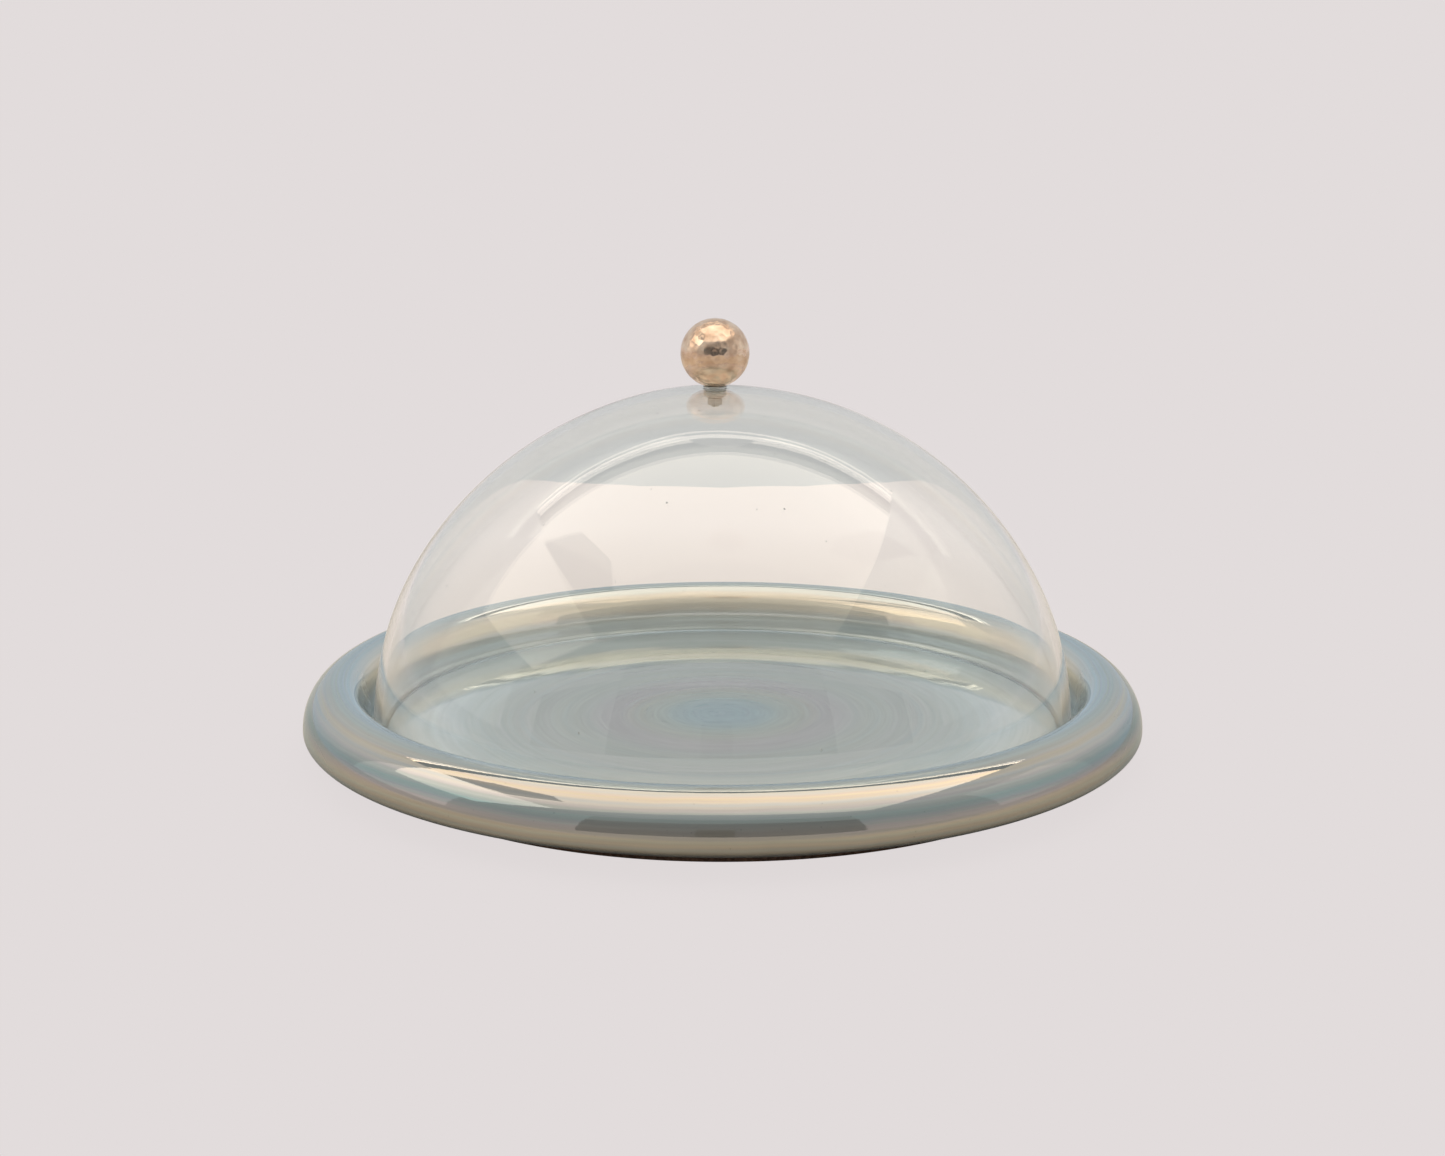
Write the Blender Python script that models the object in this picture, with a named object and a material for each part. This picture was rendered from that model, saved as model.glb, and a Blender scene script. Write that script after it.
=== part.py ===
"""Blown glass bell dome on a thrown stoneware platter, with a brass ball knob bolted through the glass.

Metres, +Z up. The origin is on the platter's axis, at the level of the surface that it stands on.
The dome and all that is bolted to it hang from the empty dome_axis, which slides up along Z.
"""

import math

import bmesh
import bpy
import mathutils

# Dome: its half outline is a curve a little less full than an ellipse, so it comes down straighter to the foot.
DOME_RADIUS = 0.1378
DOME_HEIGHT = 0.1316
DOME_FULLNESS = 1.93
GLASS_WALL = 0.0030
CROWN_SHIFT_X = -0.0029
CROWN_SHIFT_REACH = 0.060

# Platter: a flat floor inside a fat hollow rim, on an unglazed foot ring. The rim slopes down to the seat of
# the dome, steep at its foot and easy at its crown: the two pulls say how far each end keeps its direction.
RIM_TO_GLASS = 0.0018
RIM_WIDTH = 0.0256
RIM_CROWN_INSET = 0.0104
RIM_HEIGHT = 0.0296
RIM_WIDEST_Z = 0.0120
RIM_BELLY_DROP = 0.0052
RIM_SLOPE_FOOT_PULL = 0.0070
RIM_SLOPE_CROWN_PULL = 0.0045
RIM_WALL = 0.0048
RIM_SLOPE_WALL = 0.0069
RIM_VENT_DIAMETER = 0.0030
FLOOR_TOP_Z = 0.0099
FLOOR_CORNER = 0.0020
SEAT_DEPTH = 0.0005
SEAT_LAND = 0.0014
FOOT_HEIGHT = 0.0040
FOOT_WIDTH = 0.0085
FOOT_INSET = 0.0072
FOOT_SHOULDER_DROP = 0.0011
FOOT_CHAMFER = 0.0006

# Knob and its fixing.
KNOB_DIAMETER = 0.0267
STUD_DIAMETER = 0.0032
STUD_DEPTH_IN_KNOB = 0.0085
STUD_TAIL = 0.0008
BUSH_WALL = 0.0008
SOFT_WASHER_LAP = 0.0017
SEAT_WASHER_THICKNESS = 0.0005
SOFT_WASHER_THICKNESS = 0.0008
METAL_WASHER_LAP = 0.0007
METAL_WASHER_THICKNESS = 0.0005
NUT_WALL = 0.00095
NUT_THICKNESS = 0.0024
NUT_CHAMFER = 0.0002

# Clearances.
REST_GAP = 0.0003
FACE_GAP = 0.0002
THREAD_GAP = 0.0002
BUSH_GAP = 0.0002
STUD_END_GAP = 0.0015

# Sizes that follow from the ones above.
RIM_INNER_RADIUS = DOME_RADIUS + RIM_TO_GLASS
RIM_CROWN_RADIUS = RIM_INNER_RADIUS + RIM_CROWN_INSET
PLATTER_RADIUS = RIM_INNER_RADIUS + RIM_WIDTH
SEAT_Z = FLOOR_TOP_Z - SEAT_DEPTH
BUSH_BORE = STUD_DIAMETER + 2 * BUSH_GAP
BUSH_DIAMETER = BUSH_BORE + 2 * BUSH_WALL
GLASS_HOLE_DIAMETER = BUSH_DIAMETER + 2 * BUSH_GAP
SOFT_WASHER_DIAMETER = GLASS_HOLE_DIAMETER + 2 * SOFT_WASHER_LAP
METAL_WASHER_DIAMETER = GLASS_HOLE_DIAMETER + 2 * METAL_WASHER_LAP
KNOB_FLAT_DIAMETER = SOFT_WASHER_DIAMETER
THREAD_BORE = STUD_DIAMETER + 2 * THREAD_GAP

# Facets round a full turn.
LARGE_STEPS = 72
KNOB_STEPS = 40
SMALL_STEPS = 24


def ellipse_arc(centre, semi_axes, start, end, count):
    """Points (r, z) along an ellipse, from one angle to the other, both ends included."""
    points = []
    for i in range(count + 1):
        angle = math.radians(start + (end - start) * i / count)
        points.append((
            centre[0] + semi_axes[0] * math.cos(angle),
            centre[1] + semi_axes[1] * math.sin(angle),
        ))
    return points


def dome_arc(radius, height, foot_z, start_r, count):
    """Points (r, z) down one side of the bell, from radius start_r near the crown to its foot."""
    start = math.asin((start_r / radius) ** (DOME_FULLNESS / 2))
    points = []
    for i in range(count + 1):
        angle = start + (math.pi / 2 - start) * i / count
        points.append((
            radius * math.sin(angle) ** (2 / DOME_FULLNESS),
            foot_z + height * max(math.cos(angle), 0.0) ** (2 / DOME_FULLNESS),
        ))
    return points


def material(name, colour, roughness, metallic=0.0, transmission=0.0, ior=1.5):
    made = bpy.data.materials.new(name)
    made.use_nodes = True
    shader = made.node_tree.nodes["Principled BSDF"]
    shader.inputs["Base Color"].default_value = (*colour, 1.0)
    shader.inputs["Roughness"].default_value = roughness
    shader.inputs["Metallic"].default_value = metallic
    shader.inputs["Transmission Weight"].default_value = transmission
    shader.inputs["IOR"].default_value = ior
    return made


def add_object(name, bm, surface, location, parent, sharp_angle=30.0):
    bmesh.ops.recalc_face_normals(bm, faces=bm.faces)
    mesh = bpy.data.meshes.new(name)
    bm.to_mesh(mesh)
    bm.free()
    mesh.shade_smooth()
    mesh.set_sharp_from_angle(angle=math.radians(sharp_angle))
    mesh.materials.append(surface)
    made = bpy.data.objects.new(name, mesh)
    bpy.context.scene.collection.objects.link(made)
    made.location = location
    made.parent = parent
    return made


def turned_mesh(outline, steps, ring):
    """Spins an outline of (r, z) points round Z. A ring outline closes on itself, others end on the axis."""
    bm = bmesh.new()
    verts = [bm.verts.new((r, 0.0, z)) for r, z in outline]
    edges = [bm.edges.new(pair) for pair in zip(verts, verts[1:])]
    if ring:
        edges.append(bm.edges.new((verts[-1], verts[0])))
    bmesh.ops.spin(
        bm, geom=verts + edges, cent=(0, 0, 0), axis=(0, 0, 1), angle=math.tau, steps=steps,
        use_merge=True,
    )
    bmesh.ops.remove_doubles(bm, verts=bm.verts, dist=1e-6)
    return bm


def turned(name, outline, steps, surface, location=(0, 0, 0), parent=None, ring=False):
    return add_object(name, turned_mesh(outline, steps, ring), surface, location, parent)


def washer(name, diameter, thickness, top_z, surface, parent):
    """A flat ring whose top face is at top_z, on the knob's axis."""
    outer, inner = diameter / 2, BUSH_BORE / 2
    outline = [(inner, 0), (outer, 0), (outer, -thickness), (inner, -thickness)]
    return turned(
        name, outline, SMALL_STEPS, surface, (CROWN_SHIFT_X, 0, top_z), parent, ring=True,
    )


def guide(made):
    made.hide_render = True
    made.display_type = "WIRE"
    return made


def cut(body, cutter):
    boolean = body.modifiers.new("Cut " + cutter.name, "BOOLEAN")
    boolean.operation = "DIFFERENCE"
    boolean.object = guide(cutter)


def make_platter(surface):
    belly_z = RIM_WIDEST_Z - RIM_BELLY_DROP
    foot_outer = RIM_CROWN_RADIUS - FOOT_INSET
    foot_inner = foot_outer - FOOT_WIDTH
    seat_inner = DOME_RADIUS - GLASS_WALL - SEAT_LAND

    outline = [(0.0, FLOOR_TOP_Z), (seat_inner - SEAT_DEPTH, FLOOR_TOP_Z), (seat_inner, SEAT_Z)]
    outline += ellipse_arc(
        (RIM_INNER_RADIUS - FLOOR_CORNER, SEAT_Z + FLOOR_CORNER), (FLOOR_CORNER, FLOOR_CORNER), -90, 0, 4,
    )
    crown = (RIM_CROWN_RADIUS, RIM_HEIGHT)
    spring_z = SEAT_Z + FLOOR_CORNER
    slope = mathutils.geometry.interpolate_bezier(
        (RIM_INNER_RADIUS, spring_z),
        (RIM_INNER_RADIUS, spring_z + RIM_SLOPE_FOOT_PULL),
        (crown[0] - RIM_SLOPE_CROWN_PULL, crown[1]),
        crown,
        9,
    )
    outline += [tuple(point) for point in slope[1:]]
    outline += ellipse_arc(
        (crown[0], RIM_WIDEST_Z), (PLATTER_RADIUS - crown[0], crown[1] - RIM_WIDEST_Z), 90, 0, 9,
    )[1:]
    outline += ellipse_arc(
        (crown[0], RIM_WIDEST_Z), (PLATTER_RADIUS - crown[0], RIM_BELLY_DROP), 0, -90, 6,
    )[1:]
    outline += [
        (foot_outer, belly_z - FOOT_SHOULDER_DROP),
        (foot_outer, FOOT_CHAMFER),
        (foot_outer - FOOT_CHAMFER, 0.0),
        (foot_inner + FOOT_CHAMFER, 0.0),
        (foot_inner, FOOT_CHAMFER),
        (foot_inner, FOOT_HEIGHT),
        (0.0, FOOT_HEIGHT),
    ]
    platter = turned("platter", outline, LARGE_STEPS, surface)

    hollow_in, hollow_out = RIM_INNER_RADIUS + RIM_SLOPE_WALL, PLATTER_RADIUS - RIM_WALL
    hollow_r = (hollow_in + hollow_out) / 2
    hollow_z = (belly_z + RIM_HEIGHT) / 2
    hollow_axes = ((hollow_out - hollow_in) / 2, (RIM_HEIGHT - belly_z) / 2 - RIM_WALL)
    hollow = ellipse_arc((hollow_r, hollow_z), hollow_axes, 90, -240, 11)
    cut(platter, turned("rim_hollow_cutter", hollow, LARGE_STEPS, surface, ring=True))

    vent = RIM_VENT_DIAMETER / 2
    reach = RIM_WALL * 2
    vent_outline = [(0.0, reach), (vent, reach), (vent, -reach), (0.0, -reach)]
    cut(platter, turned("vent_cutter", vent_outline, SMALL_STEPS, surface, (0, hollow_r, belly_z)))
    return platter


def make_dome(surface, parent, foot_z):
    """The bell as one shell. Its rings drift off the axis near the crown, where the knob's hole is."""
    hole = GLASS_HOLE_DIAMETER / 2
    lip = GLASS_WALL / 2
    outer = dome_arc(DOME_RADIUS, DOME_HEIGHT - lip, lip, hole, 19)
    inner = dome_arc(DOME_RADIUS - GLASS_WALL, DOME_HEIGHT - GLASS_WALL - lip, lip, hole, 15)
    lip_arc = ellipse_arc((DOME_RADIUS - lip, lip), (lip, lip), 0, -180, 6)
    bm = turned_mesh(outer + lip_arc[1:-1] + inner[::-1], LARGE_STEPS, ring=True)
    for vert in bm.verts:
        share = max(0.0, 1.0 - math.hypot(vert.co.x, vert.co.y) / CROWN_SHIFT_REACH)
        vert.co.x += CROWN_SHIFT_X * share * share * (3 - 2 * share)
    return add_object("glass_dome", bm, surface, (0, 0, foot_z), parent)


def make_knob(surface, parent, flat_z):
    """A ball with a small flat under it, tapped from below for the stud."""
    radius, flat = KNOB_DIAMETER / 2, KNOB_FLAT_DIAMETER / 2
    centre = math.sqrt(radius ** 2 - flat ** 2)
    bore, depth = THREAD_BORE / 2, STUD_DEPTH_IN_KNOB + STUD_END_GAP
    lowest = -math.degrees(math.asin(centre / radius))
    ball = ellipse_arc((0, centre), (radius, radius), 90, lowest, KNOB_STEPS // 2)
    outline = [(0.0, centre + radius)] + ball[1:]
    outline += [(bore, 0.0), (bore, depth), (0.0, depth + bore / 2)]
    return turned("ball_knob", outline, KNOB_STEPS, surface, (CROWN_SHIFT_X, 0, flat_z), parent)


def make_stud(surface, parent, top_z, bottom_z):
    radius, chamfer = STUD_DIAMETER / 2, STUD_DIAMETER / 8
    length = top_z - bottom_z
    outline = [
        (0.0, 0.0), (radius - chamfer, 0.0), (radius, -chamfer),
        (radius, chamfer - length), (radius - chamfer, -length), (0.0, -length),
    ]
    return turned("knob_stud", outline, SMALL_STEPS, surface, (CROWN_SHIFT_X, 0, top_z), parent)


def make_nut(surface, parent, top_z):
    corner = (THREAD_BORE + 2 * NUT_WALL) / math.sqrt(3)
    bm = bmesh.new()
    bmesh.ops.create_cone(
        bm, cap_ends=True, segments=6, radius1=corner, radius2=corner, depth=NUT_THICKNESS,
    )
    upright = [edge for edge in bm.edges if abs(edge.verts[0].co.z - edge.verts[1].co.z) > NUT_THICKNESS / 2]
    level = [edge for edge in bm.edges if edge not in upright]
    bmesh.ops.bevel(bm, geom=level, offset=NUT_CHAMFER, segments=1, affect="EDGES")
    place = (CROWN_SHIFT_X, 0, top_z - NUT_THICKNESS / 2)
    nut = add_object("knob_nut", bm, surface, place, parent)
    bore, reach = THREAD_BORE / 2, NUT_THICKNESS
    outline = [(0.0, reach), (bore, reach), (bore, -reach), (0.0, -reach)]
    cut(nut, turned("nut_cutter", outline, SMALL_STEPS, surface, place, parent))
    return nut


def main():
    for old in list(bpy.data.objects):
        bpy.data.objects.remove(old, do_unlink=True)

    glaze = material("lustre_glazed_stoneware", (0.45, 0.47, 0.42), 0.12)
    glass = material("blown_clear_glass", (0.97, 0.98, 0.97), 0.0, transmission=1.0, ior=1.5)
    brass = material("hammered_brass", (0.62, 0.43, 0.24), 0.22, metallic=1.0)
    steel = material("stainless_steel", (0.56, 0.55, 0.53), 0.30, metallic=1.0)
    clear_rubber = material("clear_silicone", (0.80, 0.81, 0.80), 0.35, transmission=0.8, ior=1.41)

    make_platter(glaze)

    dome_axis = bpy.data.objects.new("dome_axis", None)
    bpy.context.scene.collection.objects.link(dome_axis)
    foot_z = SEAT_Z + REST_GAP
    make_dome(glass, dome_axis, foot_z)

    crown_z = foot_z + DOME_HEIGHT
    under_crown_z = crown_z - GLASS_WALL
    seat_top = crown_z + FACE_GAP + SEAT_WASHER_THICKNESS
    knob_flat_z = seat_top + FACE_GAP
    washer("seat_washer", SOFT_WASHER_DIAMETER, SEAT_WASHER_THICKNESS, seat_top, clear_rubber, dome_axis)
    make_knob(brass, dome_axis, knob_flat_z)

    bush_top = crown_z - FACE_GAP / 2
    washer("hole_bush", BUSH_DIAMETER, GLASS_WALL - FACE_GAP, bush_top, clear_rubber, dome_axis)

    soft_top = under_crown_z - 2 * FACE_GAP
    metal_top = soft_top - SOFT_WASHER_THICKNESS - FACE_GAP
    nut_top = metal_top - METAL_WASHER_THICKNESS - FACE_GAP
    washer("soft_washer", SOFT_WASHER_DIAMETER, SOFT_WASHER_THICKNESS, soft_top, clear_rubber, dome_axis)
    washer("metal_washer", METAL_WASHER_DIAMETER, METAL_WASHER_THICKNESS, metal_top, steel, dome_axis)
    make_nut(steel, dome_axis, nut_top)
    make_stud(steel, dome_axis, knob_flat_z + STUD_DEPTH_IN_KNOB, nut_top - NUT_THICKNESS - STUD_TAIL)


main()
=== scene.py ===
import math

import bmesh
import bpy
import numpy as np
from mathutils.geometry import interpolate_bezier
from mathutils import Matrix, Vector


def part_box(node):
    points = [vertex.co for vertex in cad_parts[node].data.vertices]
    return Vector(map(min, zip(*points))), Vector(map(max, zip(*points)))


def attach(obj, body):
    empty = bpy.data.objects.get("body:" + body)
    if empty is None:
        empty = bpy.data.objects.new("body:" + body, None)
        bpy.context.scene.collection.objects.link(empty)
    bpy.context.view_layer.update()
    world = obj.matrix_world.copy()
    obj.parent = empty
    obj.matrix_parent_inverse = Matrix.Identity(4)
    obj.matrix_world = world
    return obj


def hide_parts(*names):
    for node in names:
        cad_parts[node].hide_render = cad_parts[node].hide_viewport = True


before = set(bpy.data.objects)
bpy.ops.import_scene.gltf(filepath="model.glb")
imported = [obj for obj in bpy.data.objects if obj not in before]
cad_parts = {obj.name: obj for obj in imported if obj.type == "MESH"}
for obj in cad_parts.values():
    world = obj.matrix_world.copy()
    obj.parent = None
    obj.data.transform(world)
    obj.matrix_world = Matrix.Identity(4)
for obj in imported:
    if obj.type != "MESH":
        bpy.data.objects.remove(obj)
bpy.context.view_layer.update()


def linearOf(hexColour):
    values = []
    for i in (1, 3, 5):
        c = int(hexColour[i:i + 2], 16) / 255
        values.append(c / 12.92 if c <= 0.04045 else ((c + 0.055) / 1.055) ** 2.4)
    return (*values, 1.0)


def addNode(tree, kind, links=None, **settings):
    # links: input name or index -> socket or value
    node = tree.nodes.new(kind)
    for key, value in settings.items():
        setattr(node, key, value)
    for key, value in (links or {}).items():
        target = node.inputs[key]
        if isinstance(value, bpy.types.NodeSocket):
            tree.links.new(value, target)
        else:
            target.default_value = value
    return node


def remap(tree, value, source=(0.0, 1.0), target=(0.0, 1.0), shape="LINEAR"):
    ends = {"From Min": source[0], "From Max": source[1], "To Min": target[0], "To Max": target[1]}
    return addNode(tree, "ShaderNodeMapRange", {"Value": value, **ends}, interpolation_type=shape)


def mathOf(tree, operation, *values):
    return addNode(tree, "ShaderNodeMath", dict(enumerate(values)), operation=operation)


def newMaterial(name):
    made = bpy.data.materials.new(name)
    made.use_nodes = True
    made.node_tree.nodes.clear()
    return made, made.node_tree


def tinted(stops, length=1.0):
    return [(place / length, linearOf(colour)) for place, colour in stops]


def setRamp(node, stops, interpolation="LINEAR"):
    ramp = node.color_ramp
    ramp.interpolation = interpolation
    while len(ramp.elements) > 1:
        ramp.elements.remove(ramp.elements[-1])
    ramp.elements[0].position, ramp.elements[0].color = stops[0]
    for place, colour in stops[1:]:
        ramp.elements.new(place).color = colour


print("stage: studio, floor and camera")

studio = {
    "background": "#e2dcdc",
    "tableNear": "#e1d6d0",
    "tableFar": "#f4eae7",
    "tableTint": "#dad4ca",
    "tableRadius": 30.0,
    "tableDrop": 0.0002,
    # the far table brightens over this stretch of Y, and the open table over this reach from the object
    "tableFade": (0.15, 0.45),
    "openReach": (0.5, 2.2),
    # how far the soft shadow round the foot reaches, and how dark it is
    "shadowReach": 0.035,
    "shadowTone": 0.955,
    "wallThroughGlass": "#d0d0d1",
    "wallDistance": 0.60,
    "wallHeight": 1.2,
    # the backdrop paper curves away to the left and right: X, and how far back it is there
    "paperCurve": [
        (0.0, 0.0), (0.06, 0.015), (0.10, 0.05), (0.135, 0.10), (0.17, 0.18), (0.20, 0.26),
        (0.25, 0.35), (1.6, 0.7),
    ],
    # what the room gives from behind the object, from the sides, from the camera's side and from above
    "backGlow": (0.68, 0.69, 0.69),
    "sideGlow": (0.58, 0.58, 0.57),
    "frontGlow": (0.50, 0.50, 0.49),
    "topGlow": (0.50, 0.53, 0.56),
    # by height of direction: where the glow turns to the top's, and where the glass stops showing plain paper
    "topHeights": (0.45, 0.95),
    "paperHeights": (0.30, 0.50),
    # the big softbox hangs level over the object: its sides by X, and by Y its near half, frame, edge and lip
    "softboxGlow": 1.9,
    "softboxTint": (1.0, 0.92, 0.82),
    "softboxSides": (-1.13, 0.97),
    "softboxHeight": 1.2,
    "softboxReach": (-1.02, 0.50),
    "nearShare": 0.62,
    "leftShare": 0.85,
    "frameReach": (0.50, 0.70),
    "frameTone": (0.02, 0.05, 0.08),
    "edgeReach": (0.70, 0.76),
    "edgeGlow": 2.9,
    "lipReach": (0.80, 0.83),
    "lipGlow": 2.5,
    # a second softbox on its left
    "sideSoftboxFar": -2.5,
    "sideSoftboxReach": (-1.0, 0.45),
    "sideSoftboxGlow": (1.7, 1.9),
    # a five-sided flag across the softbox's left side
    "flagOutline": [(-1.13, 0.30), (-1.06, -0.36), (-0.74, -0.52), (-0.67, -0.26), (-0.81, 0.12)],
    "flagHeight": 1.19,
    "flagTone": (0.35, 0.34, 0.33),
    # the unlit gap between the softbox and the front of the table, with haze above it
    "gapSides": (-0.92, 0.90),
    "gapY": -1.3,
    "gapHeights": (0.17, 0.80),
    "gapTone": (0.11, 0.12, 0.13),
    "hazeHeights": (0.80, 1.08),
    "hazeTone": (0.34, 0.34, 0.34),
    # what the far side of the rim mirrors through the glass
    "roomSides": (-2.5, 2.5),
    "roomY": -1.34,
    "roomHeights": (0.17, 0.95),
    "roomTone": (0.20, 0.22, 0.24),
    # pale walls to the left and the right
    "sideWallX": 2.6,
    "sideWallReach": (-0.8, 0.9),
    "sideWallHeights": (0.25, 2.0),
    "leftWallTone": (0.92, 0.91, 0.88),
    "rightWallTone": (0.76, 0.76, 0.74),
    # the camera itself, seen only as a dark spot in the ball
    "bodySides": (-0.11, 0.05),
    "bodyY": -0.99,
    "bodyHeights": (0.14, 0.36),
    "bodyTone": (0.02, 0.02, 0.02),
    "cameraPlace": (0.0, -0.849, 0.264),
    "cameraTilt": 13.155,
    "lens": 55.03,
}


def levelCorners(sides, reach, height):
    (left, right), (near, far) = sides, reach
    return [(left, near, height), (right, near, height), (right, far, height), (left, far, height)]


def uprightCorners(sides, heights, y):
    (left, right), (low, high) = sides, heights
    return [(left, y, low), (right, y, low), (right, y, high), (left, y, high)]


def sideCorners(reach, heights, x):
    (near, far), (low, high) = reach, heights
    return [(x, near, low), (x, far, low), (x, far, high), (x, near, high)]


def addPanel(name, corners, colour, rowGlow=(1.0, 1.0), columnGlow=(1.0, 1.0), sees=("glossy", "diffuse")):
    # a flat lit panel, whose glow runs from near to far and from left to right; sees lists the rays that meet it
    material, tree = newMaterial(name)
    ring = addNode(tree, "ShaderNodeUVMap", uv_map="panel")
    split = addNode(tree, "ShaderNodeSeparateXYZ", {0: ring.outputs[0]})
    rows = remap(tree, split.outputs[1], target=rowGlow, shape="SMOOTHSTEP")
    columns = remap(tree, split.outputs[0], target=columnGlow, shape="SMOOTHSTEP")
    glow = mathOf(tree, "MULTIPLY", rows.outputs[0], columns.outputs[0])
    lit = addNode(tree, "ShaderNodeEmission", {"Color": (*colour, 1.0), "Strength": glow.outputs[0]})
    addNode(tree, "ShaderNodeOutputMaterial", {"Surface": lit.outputs[0]})
    mesh = bpy.data.meshes.new(name)
    mesh.from_pydata(corners, [], [tuple(range(len(corners)))])
    layer = mesh.uv_layers.new(name="panel")
    xs, ys = [c[0] for c in corners], [c[1] for c in corners]
    wide, deep = max(max(xs) - min(xs), 1e-6), max(max(ys) - min(ys), 1e-6)
    for i, (x, y) in enumerate(zip(xs, ys)):
        layer.data[i].uv = ((x - min(xs)) / wide, (y - min(ys)) / deep)
    mesh.materials.append(material)
    made = bpy.data.objects.new(name, mesh)
    bpy.context.scene.collection.objects.link(made)
    made.visible_camera = False
    made.visible_shadow = False
    made.visible_transmission = "glossy" in sees or "through" in sees
    made.visible_glossy = "glossy" in sees
    made.visible_diffuse = "diffuse" in sees


def makeRoom(s):
    # the room's glow by direction: bright behind the object, dim behind the camera
    world = bpy.data.worlds.new("softRoom")
    bpy.context.scene.world = world
    world.use_nodes = True
    tree = world.node_tree
    tree.nodes.clear()
    place = addNode(tree, "ShaderNodeTexCoord")
    split = addNode(tree, "ShaderNodeSeparateXYZ", {0: place.outputs["Generated"]})
    depth = remap(tree, split.outputs["Y"], (-1.0, 1.0))
    around = addNode(tree, "ShaderNodeValToRGB", {0: depth.outputs[0]})
    setRamp(around, [(0.0, (*s["frontGlow"], 1)), (0.25, (*s["frontGlow"], 1)), (0.5, (*s["sideGlow"], 1)),
        (0.8, (*s["backGlow"], 1)), (1.0, (*s["backGlow"], 1))])
    up = remap(tree, split.outputs["Z"], s["topHeights"], shape="SMOOTHSTEP")
    mix = addNode(tree, "ShaderNodeMix", {0: up.outputs[0], 6: around.outputs[0], 7: (*s["topGlow"], 1)},
        data_type="RGBA")
    path = addNode(tree, "ShaderNodeLightPath")
    low = remap(tree, split.outputs["Z"], s["paperHeights"], (1.0, 0.0))
    through = mathOf(tree, "MULTIPLY", path.outputs["Is Transmission Ray"], low.outputs[0])
    seen = mathOf(tree, "MAXIMUM", path.outputs["Is Camera Ray"], through.outputs[0])
    glow = addNode(tree, "ShaderNodeBackground", {"Color": mix.outputs[2], "Strength": 1.0})
    behind = addNode(tree, "ShaderNodeBackground", {"Color": linearOf(s["background"]), "Strength": 1.0})
    mixed = addNode(tree, "ShaderNodeMixShader", {0: seen.outputs[0], 1: glow.outputs[0], 2: behind.outputs[0]})
    addNode(tree, "ShaderNodeOutputWorld", {"Surface": mixed.outputs[0]})


def makePale(s, name, near, far, tint, shaded):
    # the table and the wall share one pale colour to the eye, and show a faint seam through the glass
    material, tree = newMaterial(name)
    path = addNode(tree, "ShaderNodeLightPath")
    toEye = addNode(tree, "ShaderNodeEmission", {"Color": linearOf(s["background"]), "Strength": 1.0})
    spot = addNode(tree, "ShaderNodeNewGeometry")
    depth = addNode(tree, "ShaderNodeSeparateXYZ", {0: spot.outputs["Position"]})
    away = remap(tree, depth.outputs["Y"], s["tableFade"])
    seenColour = addNode(tree, "ShaderNodeMix", {0: away.outputs[0], 6: linearOf(near), 7: linearOf(far)},
        data_type="RGBA")
    toGlass = addNode(tree, "ShaderNodeEmission", {"Color": seenColour.outputs[2], "Strength": 1.0})
    if shaded:
        shade = addNode(tree, "ShaderNodeAmbientOcclusion", {"Distance": s["shadowReach"]}, samples=8)
        soft = remap(tree, shade.outputs["AO"], (0.0, 0.85), (s["shadowTone"], 1.0))
        tree.links.new(soft.outputs[0], toEye.inputs["Strength"])
        tree.links.new(soft.outputs[0], toGlass.inputs["Strength"])
    # near the object the table takes its shade; far off it is as bright as the room
    lit = addNode(tree, "ShaderNodeBsdfDiffuse", {"Color": linearOf(tint)})
    reach = addNode(tree, "ShaderNodeVectorMath", {0: spot.outputs["Position"]}, operation="LENGTH")
    openness = remap(tree, reach.outputs["Value"], s["openReach"], shape="SMOOTHSTEP")
    distant = addNode(tree, "ShaderNodeEmission", {"Color": linearOf(s["background"]), "Strength": 1.0})
    ground = addNode(tree, "ShaderNodeMixShader",
        {0: openness.outputs[0], 1: lit.outputs[0], 2: distant.outputs[0]})
    fromGlass = addNode(tree, "ShaderNodeMixShader",
        {0: path.outputs["Is Transmission Ray"], 1: ground.outputs[0], 2: toGlass.outputs[0]})
    mixed = addNode(tree, "ShaderNodeMixShader",
        {0: path.outputs["Is Camera Ray"], 1: fromGlass.outputs[0], 2: toEye.outputs[0]})
    addNode(tree, "ShaderNodeOutputMaterial", {"Surface": mixed.outputs[0]})
    return material


def makeTable(s):
    bm = bmesh.new()
    bmesh.ops.create_circle(bm, cap_ends=True, segments=64, radius=s["tableRadius"])
    bmesh.ops.translate(bm, verts=bm.verts, vec=(0, 0, -s["tableDrop"]))
    mesh = bpy.data.meshes.new("tableTop")
    bm.to_mesh(mesh)
    bm.free()
    mesh.materials.append(makePale(s, "paleTable", s["tableNear"], s["tableFar"], s["tableTint"], True))
    table = bpy.data.objects.new("tableTop", mesh)
    bpy.context.scene.collection.objects.link(table)


def makeWall(s):
    mesh = bpy.data.meshes.new("paleWall")
    curve = [(-x, back) for x, back in s["paperCurve"][:0:-1]] + s["paperCurve"]
    foot = [(x, s["wallDistance"] + back, 0.0) for x, back in curve]
    head = [(x, y, s["wallHeight"]) for x, y, _ in foot]
    n = len(curve)
    mesh.from_pydata(foot + head, [], [(i, i + 1, n + i + 1, n + i) for i in range(n - 1)])
    seen = s["wallThroughGlass"]
    mesh.materials.append(makePale(s, "paleWall", seen, seen, s["background"], False))
    wall = bpy.data.objects.new("paleWall", mesh)
    bpy.context.scene.collection.objects.link(wall)
    wall.visible_camera = wall.visible_glossy = wall.visible_diffuse = wall.visible_shadow = False


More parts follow.
